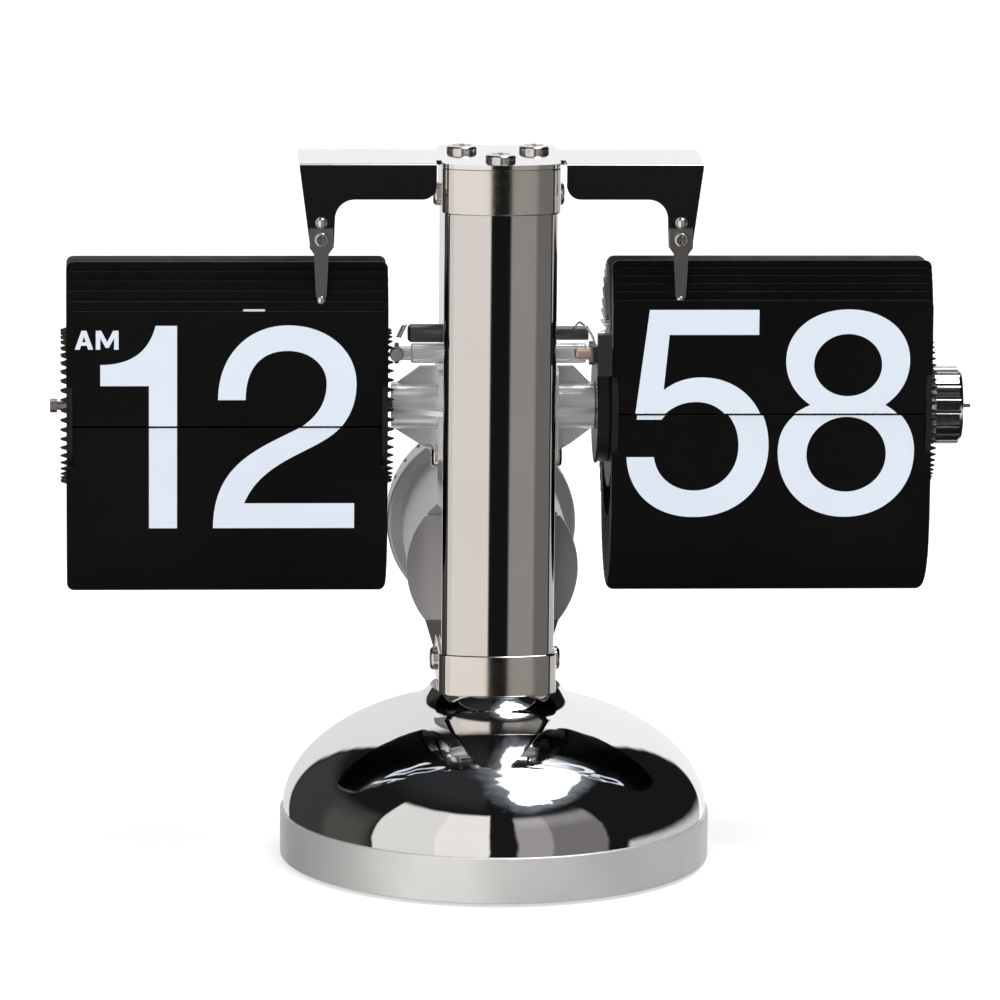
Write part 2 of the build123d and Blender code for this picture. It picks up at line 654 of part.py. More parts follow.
# ---------------------------------------------------------------- movement inside the pillar
LAY_R = 0.8
MOTOR_R = 8.4
MOVEMENT_LOW = 70.0
MOVEMENT_HIGH = 112.0
with BuildPart() as movement_plates:
    for side in (-1, 1):
        with BuildSketch(across(side * PLATE_IN)):
            with Locations((3.0, (MOVEMENT_LOW + MOVEMENT_HIGH) / 2)):
                RectangleRounded(20.0, MOVEMENT_HIGH - MOVEMENT_LOW, 2.0)
            with Locations((AXLE_Y, AXLE_Z)):
                Circle(BUSH_R, mode=Mode.SUBTRACT)
            with Locations((AXLE_Y, LAY_Z)):
                Circle(LAY_R + RUN, mode=Mode.SUBTRACT)
            with Locations((SIDE_SCREW_Y, SIDE_SCREW_ZS[1])):
                Circle(1.2, mode=Mode.SUBTRACT)
        extrude(amount=side * (INSIDE - PLATE_IN))
save(movement_plates, "movement_plates")

POSTS = ((-5.5, 73.5), (11.3, 72.2), (-5.5, 108.5))
with BuildPart() as movement_posts:
    for y, z in POSTS:
        rod(-PLATE_IN, PLATE_IN, y, z, 1.2)
save(movement_posts, "movement_posts")

LAY_PINION_X = (-8.5, -5.5)
WHEEL_X = (5.5, 7.5)
with BuildPart() as lay_shaft:
    rod(-PLATE_IN - 0.9, PLATE_IN + 0.9, AXLE_Y, LAY_Z, LAY_R)
    gear(*LAY_PINION_X, AXLE_Y, LAY_Z, LAY_TEETH, HOUR_MODULE, 90)
save(lay_shaft, "lay_shaft")

with BuildPart() as lay_wheel:
    gear(*WHEEL_X, AXLE_Y, LAY_Z, WHEEL_TEETH, MODULE, 90)
    bore(*WHEEL_X, AXLE_Y, LAY_Z, LAY_R)
save(lay_wheel, "lay_wheel")

MOTOR_FACE = 4.0
with BuildPart() as motor:
    rod(-PLATE_IN, MOTOR_FACE, AXLE_Y, MOTOR_Z, MOTOR_R)
    fillet(motor.edges().filter_by(GeomType.CIRCLE).group_by(Axis.X)[-1], 0.6)
    bore(MOTOR_FACE - 3, MOTOR_FACE, AXLE_Y, MOTOR_Z, LAY_R + RUN)
save(motor, "motor")

with BuildPart() as motor_pinion:
    rod(MOTOR_FACE - 2.5, 8.6, AXLE_Y, MOTOR_Z, LAY_R)
    gear(5.2, 7.8, AXLE_Y, MOTOR_Z, MOTOR_TEETH, MODULE, 90 + 180 / MOTOR_TEETH)
save(motor_pinion, "motor_pinion")

with BuildPart() as circuit_board:
    with BuildSketch(facing(13.4)):
        with Locations((0, 61.5)):
            Rectangle(19.0, 14.0)
    extrude(amount=-1.2)
    with BuildSketch(facing(13.4)):
        with Locations((-4.0, 62.0)):
            Rectangle(5.0, 5.0)
        with Locations((5.0, 64.5)):
            Rectangle(2.4, 6.0)
    extrude(amount=1.5)
save(circuit_board, "circuit_board")

# ---------------------------------------------------------------- hour release rocker
SLEEVE_END = 19.6
with BuildPart() as rocker_sleeve:
    rod(-SLEEVE_END, SLEEVE_END + 0.4, ROCKER_Y, ROCKER_Z, SLEEVE_R, ROCKER_R + RUN)
    chamfer(rocker_sleeve.edges().filter_by(GeomType.CIRCLE).group_by(SortBy.RADIUS)[-1], 0.25)
save(rocker_sleeve, "rocker_sleeve")

with BuildPart() as cross_tube:
    rod(-20.0, INSIDE, CROSS_Y, CROSS_Z, CROSS_R, 1.2)
    rod(INSIDE, 21.2, CROSS_Y, CROSS_Z, 1.6, 1.2)
    chamfer(cross_tube.faces().sort_by(Axis.X)[0].outer_wire().edges(), 0.6)
save(cross_tube, "cross_tube")

with BuildPart() as rocker_shaft:
    rod(-22.4, SLEEVE_END + 1.2, ROCKER_Y, ROCKER_Z, ROCKER_R)
save(rocker_shaft, "rocker_shaft")

CATCH_Y = -13.0
CATCH_X = -23.5
CATCH_Z = 119.3
with BuildPart() as catch_arm:
    rod(-23.3, -22.4, ROCKER_Y, ROCKER_Z, 2.4)
    with BuildSketch(across(-23.3)):
        with BuildLine():
            Polyline((ROCKER_Y, ROCKER_Z + 1.6), (CATCH_Y, CATCH_Z + 0.85), (CATCH_Y, CATCH_Z - 0.85),
                     (ROCKER_Y, ROCKER_Z - 1.6), close=True)
        make_face()
    extrude(amount=0.9)
    with BuildSketch(facing(CATCH_Y)):
        with Locations((CATCH_X, CATCH_Z)):
            Circle(1.55)
    extrude(amount=2.4)
    fillet(catch_arm.faces().sort_by(Axis.Y)[0].edges(), 0.3)
save(catch_arm, "catch_arm")

ARM_X = SLEEVE_END + 1.2
ARM_T = 1.3
BLOCK_IN = 21.8
BLOCK_OUT = 25.0
with BuildPart() as follower_arm:
    rod(ARM_X, ARM_X + ARM_T, ROCKER_Y, ROCKER_Z, 2.7)
    with BuildSketch(across(ARM_X)):
        with BuildLine():
            Polyline((ROCKER_Y, ROCKER_Z + 2.2), (-10.8, 120.6), (-12.6, 120.6), (-12.6, 117.0),
                     (-10.8, 117.0), (ROCKER_Y, ROCKER_Z - 2.2), close=True)
        make_face()
    extrude(amount=ARM_T)
    with BuildSketch(across(BLOCK_IN)):
        with Locations((-12.8, 118.9)):
            Rectangle(2.8, 9.4)
    extrude(amount=BLOCK_OUT - BLOCK_IN)
save(follower_arm, "follower_arm")

with BuildPart() as follower_pin:
    rod(17.0, ARM_X, -4.0, 117.6, 1.3)
    fillet(follower_pin.edges().filter_by(GeomType.CIRCLE).group_by(Axis.X)[0], 0.9)
save(follower_pin, "follower_pin")

# ---------------------------------------------------------------- battery barrel
FRONT_FACE_Y = PILLAR_BACK
TUBE_Y = 20.5
CAP_Y = 74.0
BARREL_END = 82.0
CELL_Y = 18.4
with BuildPart() as barrel_flange:
    with BuildSketch(facing(FRONT_FACE_Y)):
        with Locations((0, BARREL_Z)):
            Circle(19.7)
            Rectangle(50, 24.4, mode=Mode.INTERSECT)
            Circle(4.0, mode=Mode.SUBTRACT)
    extrude(amount=-1.6)
    with BuildSketch(facing(FRONT_FACE_Y + 1.6)):
        with Locations((0, BARREL_Z)):
            Circle(BARREL_R)
            Circle(CELL_R + 0.3, mode=Mode.SUBTRACT)
    extrude(amount=-(TUBE_Y - FRONT_FACE_Y - 1.6))
save(barrel_flange, "barrel_flange")

with BuildPart() as barrel_tube:
    drum_bar(TUBE_Y, CAP_Y + 4.0, BARREL_Z, BARREL_R - 0.4, CELL_R + 0.3)
save(barrel_tube, "barrel_tube")

with BuildPart() as barrel_ring:
    drum_bar(CAP_Y - 6.0, CAP_Y, BARREL_Z, 22.3, BARREL_R - 0.4)
    fillet(barrel_ring.edges().filter_by(GeomType.CIRCLE).group_by(SortBy.RADIUS)[-1].sort_by(Axis.Y)[0], 0.8)
save(barrel_ring, "barrel_ring")

GRIP_RIBS = 30
with BuildPart() as battery_cap:
    drum_bar(CAP_Y + 0.15, BARREL_END, BARREL_Z, 22.0)
    fillet(battery_cap.faces().sort_by(Axis.Y)[-1].edges(), 1.2)
    with BuildSketch(facing(CAP_Y + 1.5)):
        with Locations((0, BARREL_Z)):
            with PolarLocations(22.3, GRIP_RIBS):
                Circle(0.7)
    extrude(amount=-4.5, mode=Mode.SUBTRACT)
    with BuildSketch(facing(CAP_Y + 0.15)):
        with Locations((0, BARREL_Z)):
            Circle(BARREL_R)
    extrude(amount=-(BARREL_END - CAP_Y - 1.65), mode=Mode.SUBTRACT)
    with BuildSketch(facing(BARREL_END)):
        with Locations((0, BARREL_Z)):
            SlotOverall(22.0, 2.6)
    extrude(amount=0.8, mode=Mode.SUBTRACT)
save(battery_cap, "battery_cap")

with BuildPart() as battery_cell:
    drum_bar(CELL_Y + 1.5, CELL_Y + CELL_LONG - 0.6, BARREL_Z, CELL_R)
    fillet(battery_cell.edges().filter_by(GeomType.CIRCLE), 1.0)
    drum_bar(CELL_Y, CELL_Y + 1.5, BARREL_Z, 4.6)
save(battery_cell, "battery_cell")

with BuildPart() as front_contact:
    with BuildSketch(facing(FRONT_FACE_Y + 1.6)):
        with Locations((0, BARREL_Z)):
            RectangleRounded(14.0, 9.0, 1.0)
    extrude(amount=-0.25)
save(front_contact, "front_contact")

with BuildPart() as rear_contact:
    drum_bar(CELL_Y + CELL_LONG - 0.6, CELL_Y + CELL_LONG - 0.3, BARREL_Z, 7.0)
save(rear_contact, "rear_contact")

with BuildPart() as barrel_cradle:
    with BuildSketch(facing(PILLAR_BACK)):
        with BuildLine():
            Polyline((-15.4, BARREL_Z - 12.2), (-13.4, 45.0), (13.4, 45.0), (15.4, BARREL_Z - 12.2), close=True)
        make_face()
    extrude(amount=-1.2)
save(barrel_cradle, "barrel_cradle")
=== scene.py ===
"""Looks for the flip number clock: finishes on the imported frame, printed digits, small wires, studio."""

import json
from math import cos, radians, sin

import bmesh
import bpy
from mathutils import Matrix, Vector


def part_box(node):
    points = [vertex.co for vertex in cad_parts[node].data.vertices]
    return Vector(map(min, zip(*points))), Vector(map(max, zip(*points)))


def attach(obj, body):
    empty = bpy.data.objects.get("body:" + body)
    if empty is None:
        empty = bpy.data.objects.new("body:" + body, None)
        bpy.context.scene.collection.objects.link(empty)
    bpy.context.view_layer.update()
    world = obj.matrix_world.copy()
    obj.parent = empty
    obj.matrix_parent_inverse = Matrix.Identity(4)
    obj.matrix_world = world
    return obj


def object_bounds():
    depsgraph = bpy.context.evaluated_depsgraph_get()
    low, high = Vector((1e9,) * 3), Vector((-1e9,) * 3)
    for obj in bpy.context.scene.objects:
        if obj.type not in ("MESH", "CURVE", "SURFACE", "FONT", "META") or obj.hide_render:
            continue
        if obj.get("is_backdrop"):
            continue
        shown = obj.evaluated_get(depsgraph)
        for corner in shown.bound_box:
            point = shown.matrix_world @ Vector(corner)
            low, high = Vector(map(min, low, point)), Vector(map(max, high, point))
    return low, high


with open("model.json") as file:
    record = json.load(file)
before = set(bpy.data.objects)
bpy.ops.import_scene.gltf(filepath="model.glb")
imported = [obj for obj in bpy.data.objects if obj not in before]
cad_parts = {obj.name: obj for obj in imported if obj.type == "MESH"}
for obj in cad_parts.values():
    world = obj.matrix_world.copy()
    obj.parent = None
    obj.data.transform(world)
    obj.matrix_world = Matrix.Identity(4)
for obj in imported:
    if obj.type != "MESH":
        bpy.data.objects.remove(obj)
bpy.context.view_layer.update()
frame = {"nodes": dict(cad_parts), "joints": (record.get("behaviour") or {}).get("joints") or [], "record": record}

MM = 0.001
scene = bpy.context.scene
scene.view_settings.view_transform = "Standard"


# ---------------------------------------------------------------- node helpers
class Shader:
    """One node tree, with a short way to add a node and link it."""

    def __init__(self, tree):
        self.tree = tree
        tree.nodes.clear()

    def node(self, kind, inputs=None, **settings):
        made = self.tree.nodes.new(kind)
        for name, value in settings.items():
            setattr(made, name, value)
        for name, value in (inputs or {}).items():
            if isinstance(value, bpy.types.NodeSocket):
                self.tree.links.new(value, made.inputs[name])
            else:
                made.inputs[name].default_value = value
        return made

    def math(self, operation, *values, clamp=False):
        inputs = dict(enumerate(values))
        return self.node("ShaderNodeMath", inputs, operation=operation, use_clamp=clamp).outputs[0]

    def ramp(self, factor, stops):
        made = self.node("ShaderNodeValToRGB", {0: factor})
        elements = made.color_ramp.elements
        while len(elements) < len(stops):
            elements.new(0.5)
        for element, (place, colour) in zip(elements, stops):
            element.position = place
            element.color = (*colour, 1.0)
        return made.outputs[0]

    def spread(self, factor, low, high):
        """Map a 0 to 1 factor onto low to high."""
        return self.node("ShaderNodeMapRange", {0: factor, 3: low, 4: high}).outputs[0]

    def noise(self, where, scale, detail=3.0, roughness=0.5):
        inputs = {"Vector": where, "Scale": scale, "Detail": detail, "Roughness": roughness}
        return self.node("ShaderNodeTexNoise", inputs).outputs[0]

    def place(self, stretch=(1, 1, 1)):
        """Object coordinates, stretched."""
        where = self.node("ShaderNodeTexCoord").outputs["Object"]
        return self.node("ShaderNodeMapping", {"Vector": where, "Scale": stretch}).outputs[0]


def grey(value):
    return (value, value, value)


def shades(colour, amount):
    """A darker and a lighter neighbour of a colour."""
    return (tuple(c * (1 - amount) for c in colour), tuple(min(1, c * (1 + amount)) for c in colour))


def material(name, colour, roughness, metallic=0.0, vary=0.06, vary_scale=60.0, grain=(1, 1, 1),
             bump=0.02, bump_scale=3000.0, bump_depth=0.00002, rough_spread=0.05, **sockets):
    """Principled surface: clouded colour and roughness, and a fine grain that may be stretched."""
    made = bpy.data.materials.new(name)
    made.use_nodes = True
    tree = Shader(made.node_tree)
    clouds = tree.noise(tree.place(), vary_scale)
    fine = tree.noise(tree.place(grain), bump_scale, 2.0)
    dark, light = shades(colour, vary)
    base = tree.ramp(clouds, ((0.3, dark), (0.7, light)))
    rough = tree.spread(fine, roughness - rough_spread, roughness + rough_spread)
    relief = tree.node("ShaderNodeBump", {"Strength": bump, "Distance": bump_depth, "Height": fine})
    inputs = {"Base Color": base, "Roughness": rough, "Metallic": metallic, "Normal": relief.outputs[0]}
    inputs.update(sockets)
    surface = tree.node("ShaderNodeBsdfPrincipled", inputs)
    tree.node("ShaderNodeOutputMaterial", {"Surface": surface.outputs[0]})
    return made


def turned(name, colour, roughness, bump=0.25, lines=2600.0, metallic=1.0):
    """Metal brushed or turned round the upright axis: fine lines that run level."""
    return material(name, colour, roughness, metallic, grain=(0.02, 0.02, 1.0), bump=bump,
                    bump_scale=lines, rough_spread=0.06)


def plate(name, colour, roughness=0.035, vary=0.02, waves=0.04):
    """Polished plate: nearly clean mirror with faint clouding and the slightest waviness."""
    made = bpy.data.materials.new(name)
    made.use_nodes = True
    tree = Shader(made.node_tree)
    where = tree.place()
    clouds = tree.noise(where, 35.0)
    haze = tree.noise(where, 900.0, 4.0)
    dark, light = shades(colour, vary)
    base = tree.ramp(clouds, ((0.35, dark), (0.65, light)))
    rough = tree.spread(haze, roughness * 0.5, roughness * 1.5)
    swell = tree.noise(where, 45.0, 1.0)
    relief = tree.node("ShaderNodeBump", {"Strength": waves, "Distance": 0.0004, "Height": swell})
    surface = tree.node("ShaderNodeBsdfPrincipled", {
        "Base Color": base, "Roughness": rough, "Metallic": 1.0, "Normal": relief.outputs[0]})
    tree.node("ShaderNodeOutputMaterial", {"Surface": surface.outputs[0]})
    return made


def edged(name, face, edge, roughness, specular):
    """Dark sheet or moulding with a painted highlight: faces that point up, the top cut edges among them, are
    painted a lighter grey, as if lit from above, in noisy patches.
    """
    made = bpy.data.materials.new(name)
    made.use_nodes = True
    tree = Shader(made.node_tree)
    where = tree.place()
    clouds = tree.noise(where, 25.0)
    fine = tree.noise(where, 1400.0, 2.0)
    normal = tree.node("ShaderNodeTexCoord").outputs["Normal"]
    up = tree.node("ShaderNodeSeparateXYZ", {0: normal}).outputs[2]
    # painted highlight: how far the normal points up, broken up by noise, sets how far each spot is lightened
    # towards the edge grey
    upward_highlight = tree.math("MULTIPLY", up, tree.spread(tree.noise(where, 220.0), 0.75, 1.15), clamp=True)
    dark, light = shades(grey(face), 0.25)
    body = tree.ramp(clouds, ((0.3, dark), (0.7, light)))
    share = tree.ramp(upward_highlight, ((0.30, grey(0.0)), (0.95, grey(1.0))))
    tone = tree.node("ShaderNodeMix", {0: share, 6: body, 7: (*grey(edge), 1.0)}, data_type="RGBA").outputs[2]
    rough = tree.spread(fine, roughness - 0.04, roughness + 0.04)
    relief = tree.node("ShaderNodeBump", {"Strength": 0.03, "Distance": 0.00002, "Height": fine})
    surface = tree.node("ShaderNodeBsdfPrincipled", {
        "Base Color": tone, "Roughness": rough, "Specular IOR Level": specular,
        "Normal": relief.outputs[0]})
    tree.node("ShaderNodeOutputMaterial", {"Surface": surface.outputs[0]})
    return made


# ---------------------------------------------------------------- finishes, by the record's slots
FINISHES = {
    "mirror_chrome": plate("dome plate", (0.93, 0.93, 0.94)),
    "pillar_chrome": plate("pillar plate", (0.76, 0.735, 0.72), 0.04),
    "collar_chrome": plate("collar plate", (0.84, 0.81, 0.76), 0.11),
    "bracket_chrome": plate("bracket plate", (0.92, 0.92, 0.92), 0.08),
    "satin_steel": turned("satin steel", (0.80, 0.80, 0.79), 0.42, bump=0.10, metallic=0.62),
    "black_paint": material("black paint", grey(0.02), 0.35),
    "foot_rubber": material("foot rubber", grey(0.03), 0.8, bump=0.3, bump_scale=900.0),
    "cast_weight": material("cast weight", grey(0.10), 0.6, bump=0.5, bump_scale=700.0, bump_depth=0.0001),
    "screw_steel": material("plated steel", grey(0.62), 0.3, 1.0),
    "screw_chrome": material("screw plate", (0.90, 0.88, 0.85), 0.2, 1.0),
    "alloy": material("satin alloy", grey(0.90), 0.24, 0.55, bump=0.12, bump_scale=1500.0),
    "bush_brass": material("bush brass", (0.80, 0.62, 0.30), 0.25, 1.0),
    "axle_steel": material("axle steel", (0.70, 0.62, 0.60), 0.28, 1.0),
    "drum_plastic": edged("drum plastic", 0.007, 0.03, 0.34, 0.35),
    "flap_black": edged("flap sheet", 0.003, 0.14, 0.17, 0.5),
    "gear_brass": material("gear brass", (0.80, 0.62, 0.30), 0.28, 1.0),
    "knob_chrome": plate("knob plate", grey(0.92), 0.10),
    "retainer_steel": material("retainer steel", grey(0.36), 0.30, 1.0, grain=(1, 1, 0.03), bump=0.2,
                               bump_scale=2600.0),
    "board": material("board mask", (0.01, 0.12, 0.05), 0.3),
    "sleeve_steel": material("turned sleeve", grey(0.93), 0.22, 0.6, grain=(1, 0.05, 0.05), bump=0.15),
    "grey_tube": material("grey tube", grey(0.16), 0.35, 0.6),
    "black_lever": material("lever plastic", grey(0.015), 0.35),
    "copper_pin": material("copper pin", (0.80, 0.62, 0.53), 0.34, 0.85),
    "barrel_silver": material("silver plastic", (0.52, 0.52, 0.53), 0.34, 0.75, bump=0.2, bump_scale=2200.0),
    "cell_jacket": material("cell jacket", (0.03, 0.04, 0.12), 0.3),
    "contact_nickel": material("contact nickel", (0.80, 0.77, 0.70), 0.25, 1.0),
}
for part in frame["record"]["subparts"]:
    mesh = frame["nodes"][part["node"]].data
    mesh.materials.clear()
    mesh.materials.append(FINISHES[part["material_slot"]])

PRINT_WHITE = material("printed white", (0.63, 0.69, 0.77), 0.5, vary=0.015, bump=0.06, bump_scale=2000.0)
SPRING_WIRE = material("spring wire", grey(0.88), 0.2, 1.0)
STEEL_FACE = material("cut steel face", grey(0.16), 0.5, 0.3)


# ---------------------------------------------------------------- printed digits
# Outlines in millimetres: across from the print's middle line, and up from the split line. A bare pair
# is the end of a straight run, and three pairs are a curve's two control points and its end.
ONE = ((-16.5, -23.2), (-10.2, -23.2), (-10.2, 23.1), (-15.0, 23.1),
       ((-16.3, 18.1), (-19.5, 14.2), (-27.4, 14.2)), (-27.4, 9.4), (-16.5, 9.4))
TWO = ((-1.0, 6.2), ((-1.0, 16.6), (5.9, 23.2), (14.7, 23.2)), ((24.0, 23.2), (30.1, 17.1), (30.1, 9.9)),
       ((30.1, 5.7), (28.8, 2.5), (26.4, -0.3)), ((21.0, -6.0), (9.1, -7.2), (4.9, -17.5)),
       (29.7, -17.5), (29.7, -23.2), (-2.1, -23.2), ((-2.1, -8.7), (7.6, -5.2), (16.6, -0.6)),
       ((21.3, 2.0), (23.4, 5.7), (23.4, 9.9)), ((23.4, 14.2), (19.6, 17.4), (14.7, 17.4)),
       ((8.8, 17.4), (5.2, 13.7), (5.2, 6.2)))
FIVE = ((-29.0, 23.9), (-4.3, 23.9), (-4.3, 18.2), (-24.5, 18.2), (-25.7, 5.6),
        ((-23.2, 7.6), (-20.3, 8.5), (-17.1, 8.5)), ((-9.0, 8.5), (-2.3, 2.6), (-2.3, -7.3)),
        ((-2.3, -16.8), (-9.0, -23.6), (-19.1, -23.6)), ((-28.2, -23.6), (-34.1, -17.8), (-34.4, -9.8)),
        (-28.2, -9.8), ((-27.6, -14.6), (-23.7, -17.5), (-19.1, -17.5)),
        ((-13.4, -17.5), (-9.1, -13.3), (-9.1, -7.3)), ((-9.1, -1.4), (-12.9, 2.9), (-18.3, 2.9)),
        ((-21.8, 2.9), (-24.5, 1.4), (-26.6, -1.2)), (-32.2, -1.2))
EIGHT = ((15.9, 24.0), ((24.0, 24.0), (29.9, 19.3), (29.9, 12.3)), ((29.9, 8.1), (27.9, 4.6), (24.4, 2.2)),
         ((28.4, 0.1), (30.7, -3.8), (30.7, -8.6)), ((30.7, -17.3), (24.0, -23.6), (15.1, -23.6)),
         ((6.3, -23.6), (-0.2, -17.3), (-0.2, -8.6)), ((-0.2, -3.8), (2.1, -0.1), (7.5, 2.2)),
         ((4.0, 4.6), (1.9, 8.1), (1.9, 12.3)), ((1.9, 19.3), (8.0, 24.0), (15.9, 24.0)))
NINE = ((15.9, 24.0), ((25.0, 24.0), (30.9, 17.0), (30.9, 3.0)),
        ((30.9, -14.0), (25.5, -23.6), (15.0, -23.6)), ((7.5, -23.6), (2.2, -19.0), (1.4, -12.4)),
        (7.6, -12.4), ((8.4, -16.0), (11.0, -17.8), (14.8, -17.8)),
        ((21.0, -17.8), (24.4, -12.5), (24.6, -2.6)), ((22.5, -6.0), (19.0, -8.0), (14.6, -8.0)),
        ((6.0, -8.0), (0.2, -1.2), (0.2, 7.8)), ((0.2, 17.4), (6.6, 24.0), (15.9, 24.0)))
LETTER_A = ((-33.1, 17.7), (-31.6, 22.0), (-30.5, 22.0), (-29.0, 17.7), (-30.1, 17.7), (-30.4, 18.6),
            (-31.7, 18.6), (-32.0, 17.7))
LETTER_M = ((-28.4, 17.7), (-28.4, 22.0), (-27.2, 22.0), (-25.85, 19.4), (-24.5, 22.0), (-23.3, 22.0),
            (-23.3, 17.7), (-24.3, 17.7), (-24.3, 20.3), (-25.5, 18.1), (-26.2, 18.1), (-27.4, 20.3),
            (-27.4, 17.7))


def ellipse(across, up, half_width, half_height):
    """Closed outline of an ellipse, as four curves."""
    pull = 0.5523
    w, h = half_width, half_height
    return ((across + w, up),
            ((across + w, up + h * pull), (across + w * pull, up + h), (across, up + h)),
            ((across - w * pull, up + h), (across - w, up + h * pull), (across - w, up)),
            ((across - w, up - h * pull), (across - w * pull, up - h), (across, up - h)),
            ((across + w * pull, up - h), (across + w, up - h * pull), (across + w, up)))


EIGHT_HOLES = (ellipse(15.9, 11.3, 7.7, 7.1), ellipse(15.3, -9.2, 9.0, 8.6))
NINE_HOLE = (ellipse(15.6, 7.8, 9.0, 9.6),)
A_HOLE = (((-31.45, 19.4), (-30.65, 19.4), (-31.05, 20.7)),)
TWELVE = (ONE, TWO)
FIFTY_EIGHT = (FIVE, EIGHT, *EIGHT_HOLES)
FIFTY_NINE = (FIVE, NINE, *NINE_HOLE)
MORNING = (LETTER_A, *A_HOLE, LETTER_M)
INK = 0.03 * MM


def outline_spline(curve, outline, shift):
    """Add one closed outline to a flat filled curve."""
    ends = [step if isinstance(step[0], (int, float)) else step[2] for step in outline]
    closes = ends[-1] == ends[0]
    count = len(ends) - (1 if closes else 0)
    spline = curve.splines.new("BEZIER")
    spline.bezier_points.add(count - 1)
    spline.use_cyclic_u = True
    spline.resolution_u = 24

    def spot(pair):
        return Vector(((pair[0] + shift[0]) * MM, (pair[1] + shift[1]) * MM, 0))

    for point, end in zip(spline.bezier_points, ends):
        point.co = spot(end)
        point.handle_left_type = point.handle_right_type = "FREE"
        point.handle_left = point.handle_right = point.co
    for index, step in enumerate(outline):
        if not isinstance(step[0], (int, float)):
            spline.bezier_points[index - 1].handle_right = spot(step[0])
            spline.bezier_points[index % count].handle_left = spot(step[1])


def print_half(name, outlines, upper, body, place, shift=(0, 0), flip=False):
    """Half of a printed number as a thin raised print. The place takes the flap's face to the frame."""
    curve = bpy.data.curves.new(name, "CURVE")
    curve.dimensions = "2D"
    curve.fill_mode = "BOTH"
    curve.extrude = INK / 2
    for outline in outlines:
        outline_spline(curve, outline, shift)
    drawn = bpy.data.objects.new(name + "_drawn", curve)
    scene.collection.objects.link(drawn)
    mesh = bpy.data.meshes.new_from_object(drawn)
    bpy.data.objects.remove(drawn)
    cutter = bmesh.new()
    cutter.from_mesh(mesh)
    keep = 1 if upper else -1
    geometry = cutter.verts[:] + cutter.edges[:] + cutter.faces[:]
    bmesh.ops.bisect_plane(cutter, geom=geometry, plane_co=(0, keep * SPLIT_MARGIN, 0),
                           plane_no=(0, -keep, 0), clear_outer=True)
    bmesh.ops.remove_doubles(cutter, verts=cutter.verts[:], dist=1e-7)
    open_edges = [edge for edge in cutter.edges if edge.is_boundary]
    bmesh.ops.holes_fill(cutter, edges=open_edges)
    if flip:
        bmesh.ops.scale(cutter, vec=(1, -1, -1), verts=cutter.verts[:])
    bmesh.ops.transform(cutter, matrix=place, verts=cutter.verts[:])
    cutter.to_mesh(mesh)
    cutter.free()
    mesh.materials.clear()
    mesh.materials.append(PRINT_WHITE)
    piece = bpy.data.objects.new(name, mesh)
    scene.collection.objects.link(piece)
    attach(piece, body)
    return piece


def face_place(middle_x, split_z, face_y, lean=0.0, pivot_z=0.0):
    """Matrix from a number's flat outline to a flap's front face that leans back about its pivot."""
    upright = Matrix(((1, 0, 0, middle_x), (0, 0, -1, face_y), (0, 1, 0, split_z), (0, 0, 0, 1)))
    pivot = Vector((middle_x, face_y, pivot_z))
    turn = Matrix.Translation(pivot) @ Matrix.Rotation(radians(-lean), 4, "X") @ Matrix.Translation(-pivot)
    return turn @ upright


SPLIT_MARGIN = 0.25 * MM
FLAP_T = 0.22 * MM
LEAN = 1.0                       # how far the front upper flaps lean back, in degrees
# The next upper flap's print, behind and above the front one in millimetres, and its lean.
HOUR_FAN = (0.31, 3.7, 1.0)
MINUTE_FAN = (0.73, 1.77, 2.5)
joints = {joint["name"]: joint for joint in frame["joints"]}


def display(side, number, middle, low_shift, next_number, next_shift, fan, extras):
    """Prints of one display: the shown number, and the next one behind and on the flap's back."""
    body = side + "_flap"
    pivot = Vector(joints[body + "_fall"]["pos_m"])
    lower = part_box(side + "_lower_flap")
    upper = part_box(side + "_upper_flap")
    split_z = (lower[1].z + upper[0].z) / 2
    front = -(FLAP_T + INK) / 2
    rest = face_place(middle, split_z, pivot.y + front, LEAN, pivot.z)
    print_half(side + "_number_top", number, True, body, rest)
    lower_y = (lower[0].y + lower[1].y) / 2 + front
    lower_face = face_place(middle, split_z, lower_y)
    print_half(side + "_number_bottom", number, False, "frame", lower_face, (low_shift, 0))
    if extras:
        print_half(side + "_morning_mark", extras, True, body, rest)
    back = face_place(middle, split_z, pivot.y - front, LEAN, pivot.z)
    turned_over = Matrix.Translation((0, 0, 2 * (pivot.z - split_z)))
    print_half(side + "_next_bottom", next_number, False, body, turned_over @ back, next_shift, flip=True)
    step_y, step_z, lean = fan
    behind = face_place(middle, split_z + step_z * MM, pivot.y + front + step_y * MM, lean,
                        pivot.z + step_z * MM)
    print_half(side + "_next_top", next_number, True, "frame", behind, next_shift)


PRINT_MIDDLE = 62.5 * MM
HOUR_NEXT_SHIFT = 19.7           # the lone next digit stands this far right of the ten's place
MINUTE_LOW_SHIFT = 0.5           # the lower minute flap's print sits a little to the right
display("hour", TWELVE, -PRINT_MIDDLE, 0.0, (ONE,), (HOUR_NEXT_SHIFT, 0), HOUR_FAN, MORNING)
display("minute", FIFTY_EIGHT, PRINT_MIDDLE, MINUTE_LOW_SHIFT, FIFTY_NINE, (0, 0), MINUTE_FAN, None)

